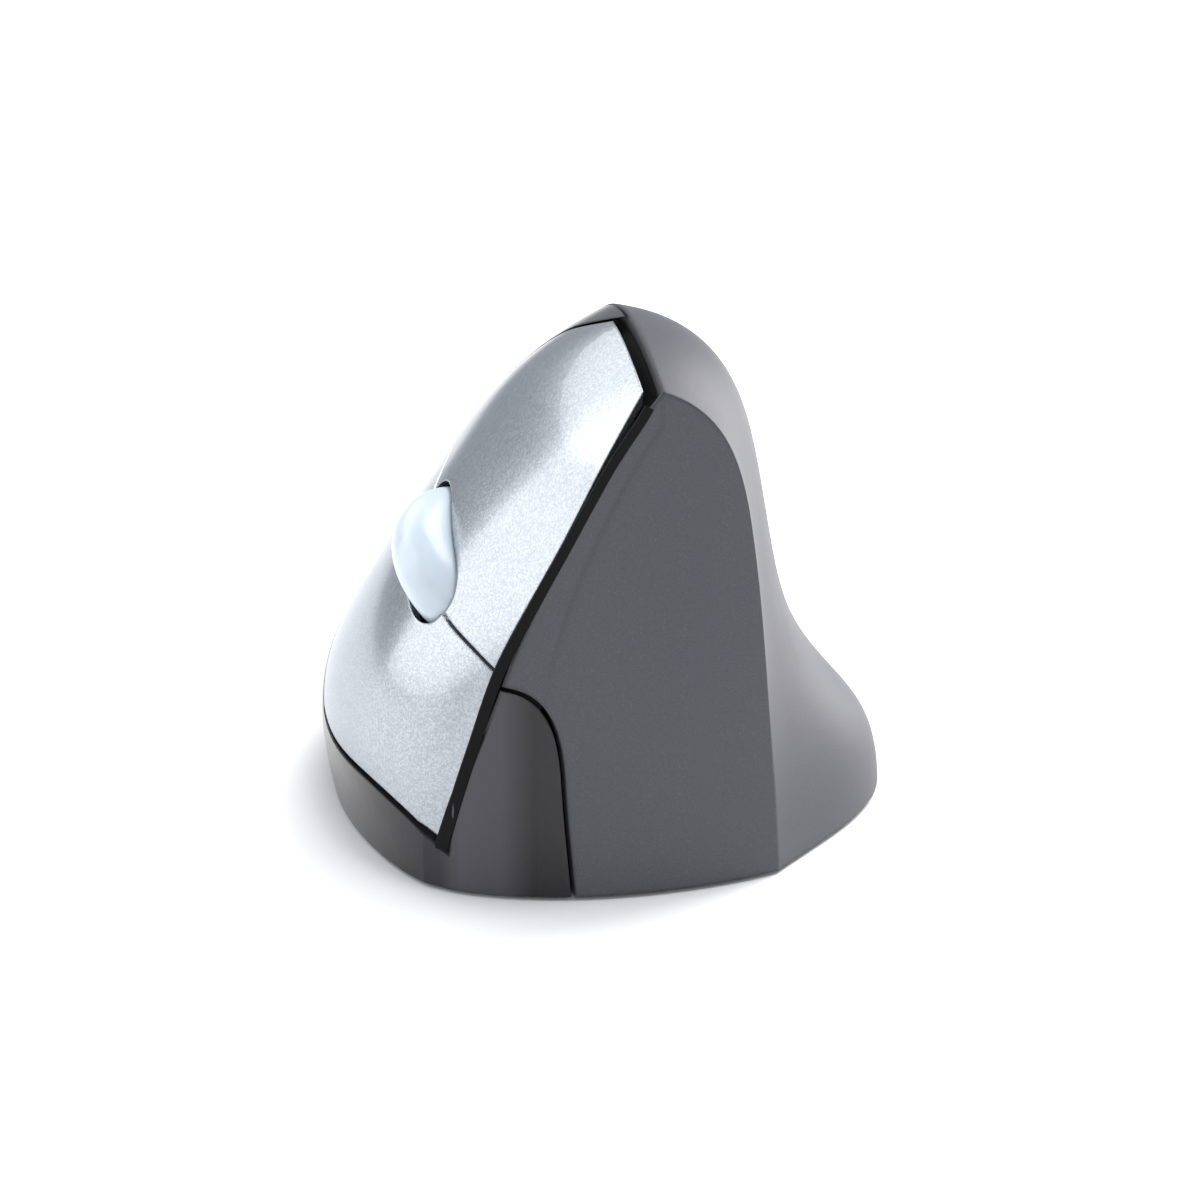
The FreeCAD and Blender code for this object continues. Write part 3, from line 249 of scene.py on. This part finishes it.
LOOKS = {
    "soft_touch_shell": soft_touch(),
    "glossy_shell": glossy_shell(),
    "metallic_button": metallic_button(),
    "inner_black": plastic("inner_black", (0.006, 0.006, 0.0065), 0.7, 1600.0, 0.00003,
                           Specular_IOR_Level=0.12),
    "translucent_wheel": translucent_wheel(),
    "wheel_hub": plastic("wheel_hub", (0.60, 0.66, 0.73), 0.3, 900.0, 0.00001, 0.06),
    "steel": metal("steel", (0.62, 0.62, 0.64), 0.3, (1.0, 1.0, 0.1)),
    "acetal": plastic("acetal", (0.72, 0.72, 0.69), 0.4, 900.0, 0.00001, 0.05),
    "circuit_board": circuit_board(),
    "switch_case": plastic("switch_case", (0.022, 0.022, 0.024), 0.42, 1800.0, 0.00002),
    "base_black": plastic("base_black", (0.024, 0.024, 0.026), 0.52, 2200.0, 0.00005, 0.15),
    "glide_foot": plastic("glide_foot", (0.66, 0.66, 0.65), 0.4, 1200.0, 0.00002, 0.06),
    "cell_wrap": cell_wrap(),
    "clear_plastic": clear_plastic(),
    "flat_cable": flat_cable(),
}


def dress_nodes():
    """Give each CAD node the material of its slot."""
    for part in frame["record"]["subparts"]:
        node = NODES[part["node"]]
        node.data.materials.clear()
        node.data.materials.append(LOOKS[part["material_slot"]].material)


# ---------------------------------------------------------------- painted shade strip in the channel

# The finger buttons' front edge on the nose, bottom to top, as (x, z) in millimetres.
BUTTON_EDGE = [(-34.5, 6.4), (-34.0, 9.0), (-32.8, 14.5), (-30.9, 22.2), (-27.8, 33.7), (-24.1, 42.5),
               (-19.8, 51.4), (-13.7, 63.3), (-9.0, 70.6), (-8.0, 72.3)]
# The dark strip's near and far side from that edge, how far it stands out of the nose, and its
# thickness; the strip is painted shade for the channel.
SHADE_STRIP_INNER, SHADE_STRIP_OUTER, SHADE_STRIP_PROUD, SHADE_STRIP_THICK = 0.1, 1.35, 0.12, 0.45


def smooth_line(points, steps):
    """Catmull-Rom points through a plane line."""
    ends = [points[0], *points, points[-1]]
    line = []
    for a, b, c, d in zip(ends, ends[1:], ends[2:], ends[3:]):
        for k in range(steps):
            t = k / steps
            line.append(tuple(
                0.5 * (2 * q + (r - p) * t + (2 * p - 5 * q + 4 * r - s) * t * t
                       + (3 * q - p - 3 * r + s) * t ** 3)
                for p, q, r, s in zip(a, b, c, d)))
    return line + [points[-1]]


def nose_face(trees, x):
    """How far forward the nose's front face stands at x. The face is upright, so any height will do."""
    hits = []
    for tree in trees:
        for height in (0.003, 0.008, 0.014, 0.020):
            point = tree.ray_cast(Vector((x, -0.08, height)), Vector((0, 1, 0)))[0]
            if point is not None:
                hits.append(point.y)
    return min(hits)


def channel_shade_strip():
    """Black strip along the finger buttons' front edge, standing just proud of the nose face over the
    channel and the lit lip beside it: painted shade where the channel falls into shadow.
    """
    depsgraph = bpy.context.evaluated_depsgraph_get()
    shells = ("finger_side_shell", "thumb_side_shell")
    trees = [BVHTree.FromObject(NODES[name], depsgraph) for name in shells]
    line = smooth_line(BUTTON_EDGE, 14)
    vertices, faces = [], []
    for i, (x, z) in enumerate(line):
        (x0, z0), (x1, z1) = line[max(i - 1, 0)], line[min(i + 1, len(line) - 1)]
        length = math.hypot(x1 - x0, z1 - z0)
        side = ((z1 - z0) / length, -(x1 - x0) / length)
        for reach, back in ((SHADE_STRIP_INNER, 0), (SHADE_STRIP_OUTER, 0), (SHADE_STRIP_OUTER, 1), (SHADE_STRIP_INNER, 1)):
            px, pz = (x + side[0] * reach) / 1000, (z + side[1] * reach) / 1000
            py = nose_face(trees, px) + (SHADE_STRIP_THICK * back - SHADE_STRIP_PROUD) / 1000
            vertices.append((px, py, pz))
    for i in range(len(line) - 1):
        for k in range(4):
            n = (k + 1) % 4
            faces.append((4 * i + k, 4 * i + n, 4 * i + 4 + n, 4 * i + 4 + k))
    last = 4 * (len(line) - 1)
    faces += [(3, 2, 1, 0), (last, last + 1, last + 2, last + 3)]
    mesh = bpy.data.meshes.new("channel_shade_strip")
    mesh.from_pydata(vertices, [], faces)
    shade_strip = bpy.data.objects.new("channel_shade_strip", mesh)
    bpy.context.scene.collection.objects.link(shade_strip)
    mesh.materials.append(LOOKS["inner_black"].material)
    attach(shade_strip, "casing")


# ---------------------------------------------------------------- stage


def aim(obj, target):
    obj.rotation_euler = (Vector(target) - obj.location).to_track_quat("-Z", "Y").to_euler()


def floor():
    bpy.ops.mesh.primitive_plane_add(size=12, location=(0, 0, 0))
    plane = bpy.context.object
    plane.name = "floor"
    look = Look("floor").set(Specular_IOR_Level=0.2)
    look.feed("Base Color", look.ramp(look.noise(8.0, 2.0), [
        (0.3, (0.90, 0.90, 0.905)), (0.7, (0.92, 0.92, 0.925))]))
    look.feed("Roughness", look.spread(look.noise(30.0, 3.0), 0.75, 0.85))
    plane.data.materials.append(look.material)


def softbox(name, direction, distance, size, power):
    """Rectangular lamp in a direction from the object, facing it."""
    target = (-0.005, -0.005, 0.04)
    data = bpy.data.lights.new(name, "AREA")
    data.shape = "RECTANGLE"
    data.size, data.size_y = size
    data.energy = power
    lamp = bpy.data.objects.new(name, data)
    bpy.context.scene.collection.objects.link(lamp)
    lamp.location = Vector(target) + Vector(direction).normalized() * distance
    aim(lamp, target)


def lights():
    world = bpy.data.worlds.new("studio")
    world.use_nodes = True
    bpy.context.scene.world = world
    background = next(n for n in world.node_tree.nodes if n.type == "BACKGROUND")
    background.inputs["Color"].default_value = (0.93, 0.95, 1.0, 1.0)
    background.inputs["Strength"].default_value = 0.55
    softbox("key_left", (-0.85, 0.40, 0.33), 0.7, (0.60, 0.52), 1.7)
    softbox("key_behind", (-0.35, 0.78, 0.54), 0.7, (0.54, 0.37), 1.0)
    softbox("front", (-0.25, -1.0, 0.35), 0.9, (0.5, 0.4), 1.4)
    softbox("top", (0.35, 0.10, 1.0), 0.9, (0.7, 0.7), 8.5)
    softbox("rim_right", (0.95, 0.30, 0.35), 0.8, (0.30, 0.6), 6.0)
    bpy.context.scene.view_settings.view_transform = "Standard"


def camera():
    data = bpy.data.cameras.new("camera")
    data.sensor_width = 36.0
    data.lens = 138.45
    shot = bpy.data.objects.new("camera", data)
    bpy.context.scene.collection.objects.link(shot)
    target = Vector((-0.008, -0.032, 0.0386))
    azimuth, elevation, distance = math.radians(-21.0), math.radians(20.0), 0.65
    flat = math.cos(elevation) * distance
    shot.location = target + Vector((flat * math.sin(azimuth), -flat * math.cos(azimuth),
                                     math.sin(elevation) * distance))
    aim(shot, target)
    bpy.context.scene.camera = shot


dress_nodes()
# Painted shade: a black strip over the channel in front of the nose.
channel_shade_strip()
floor()
lights()
camera()
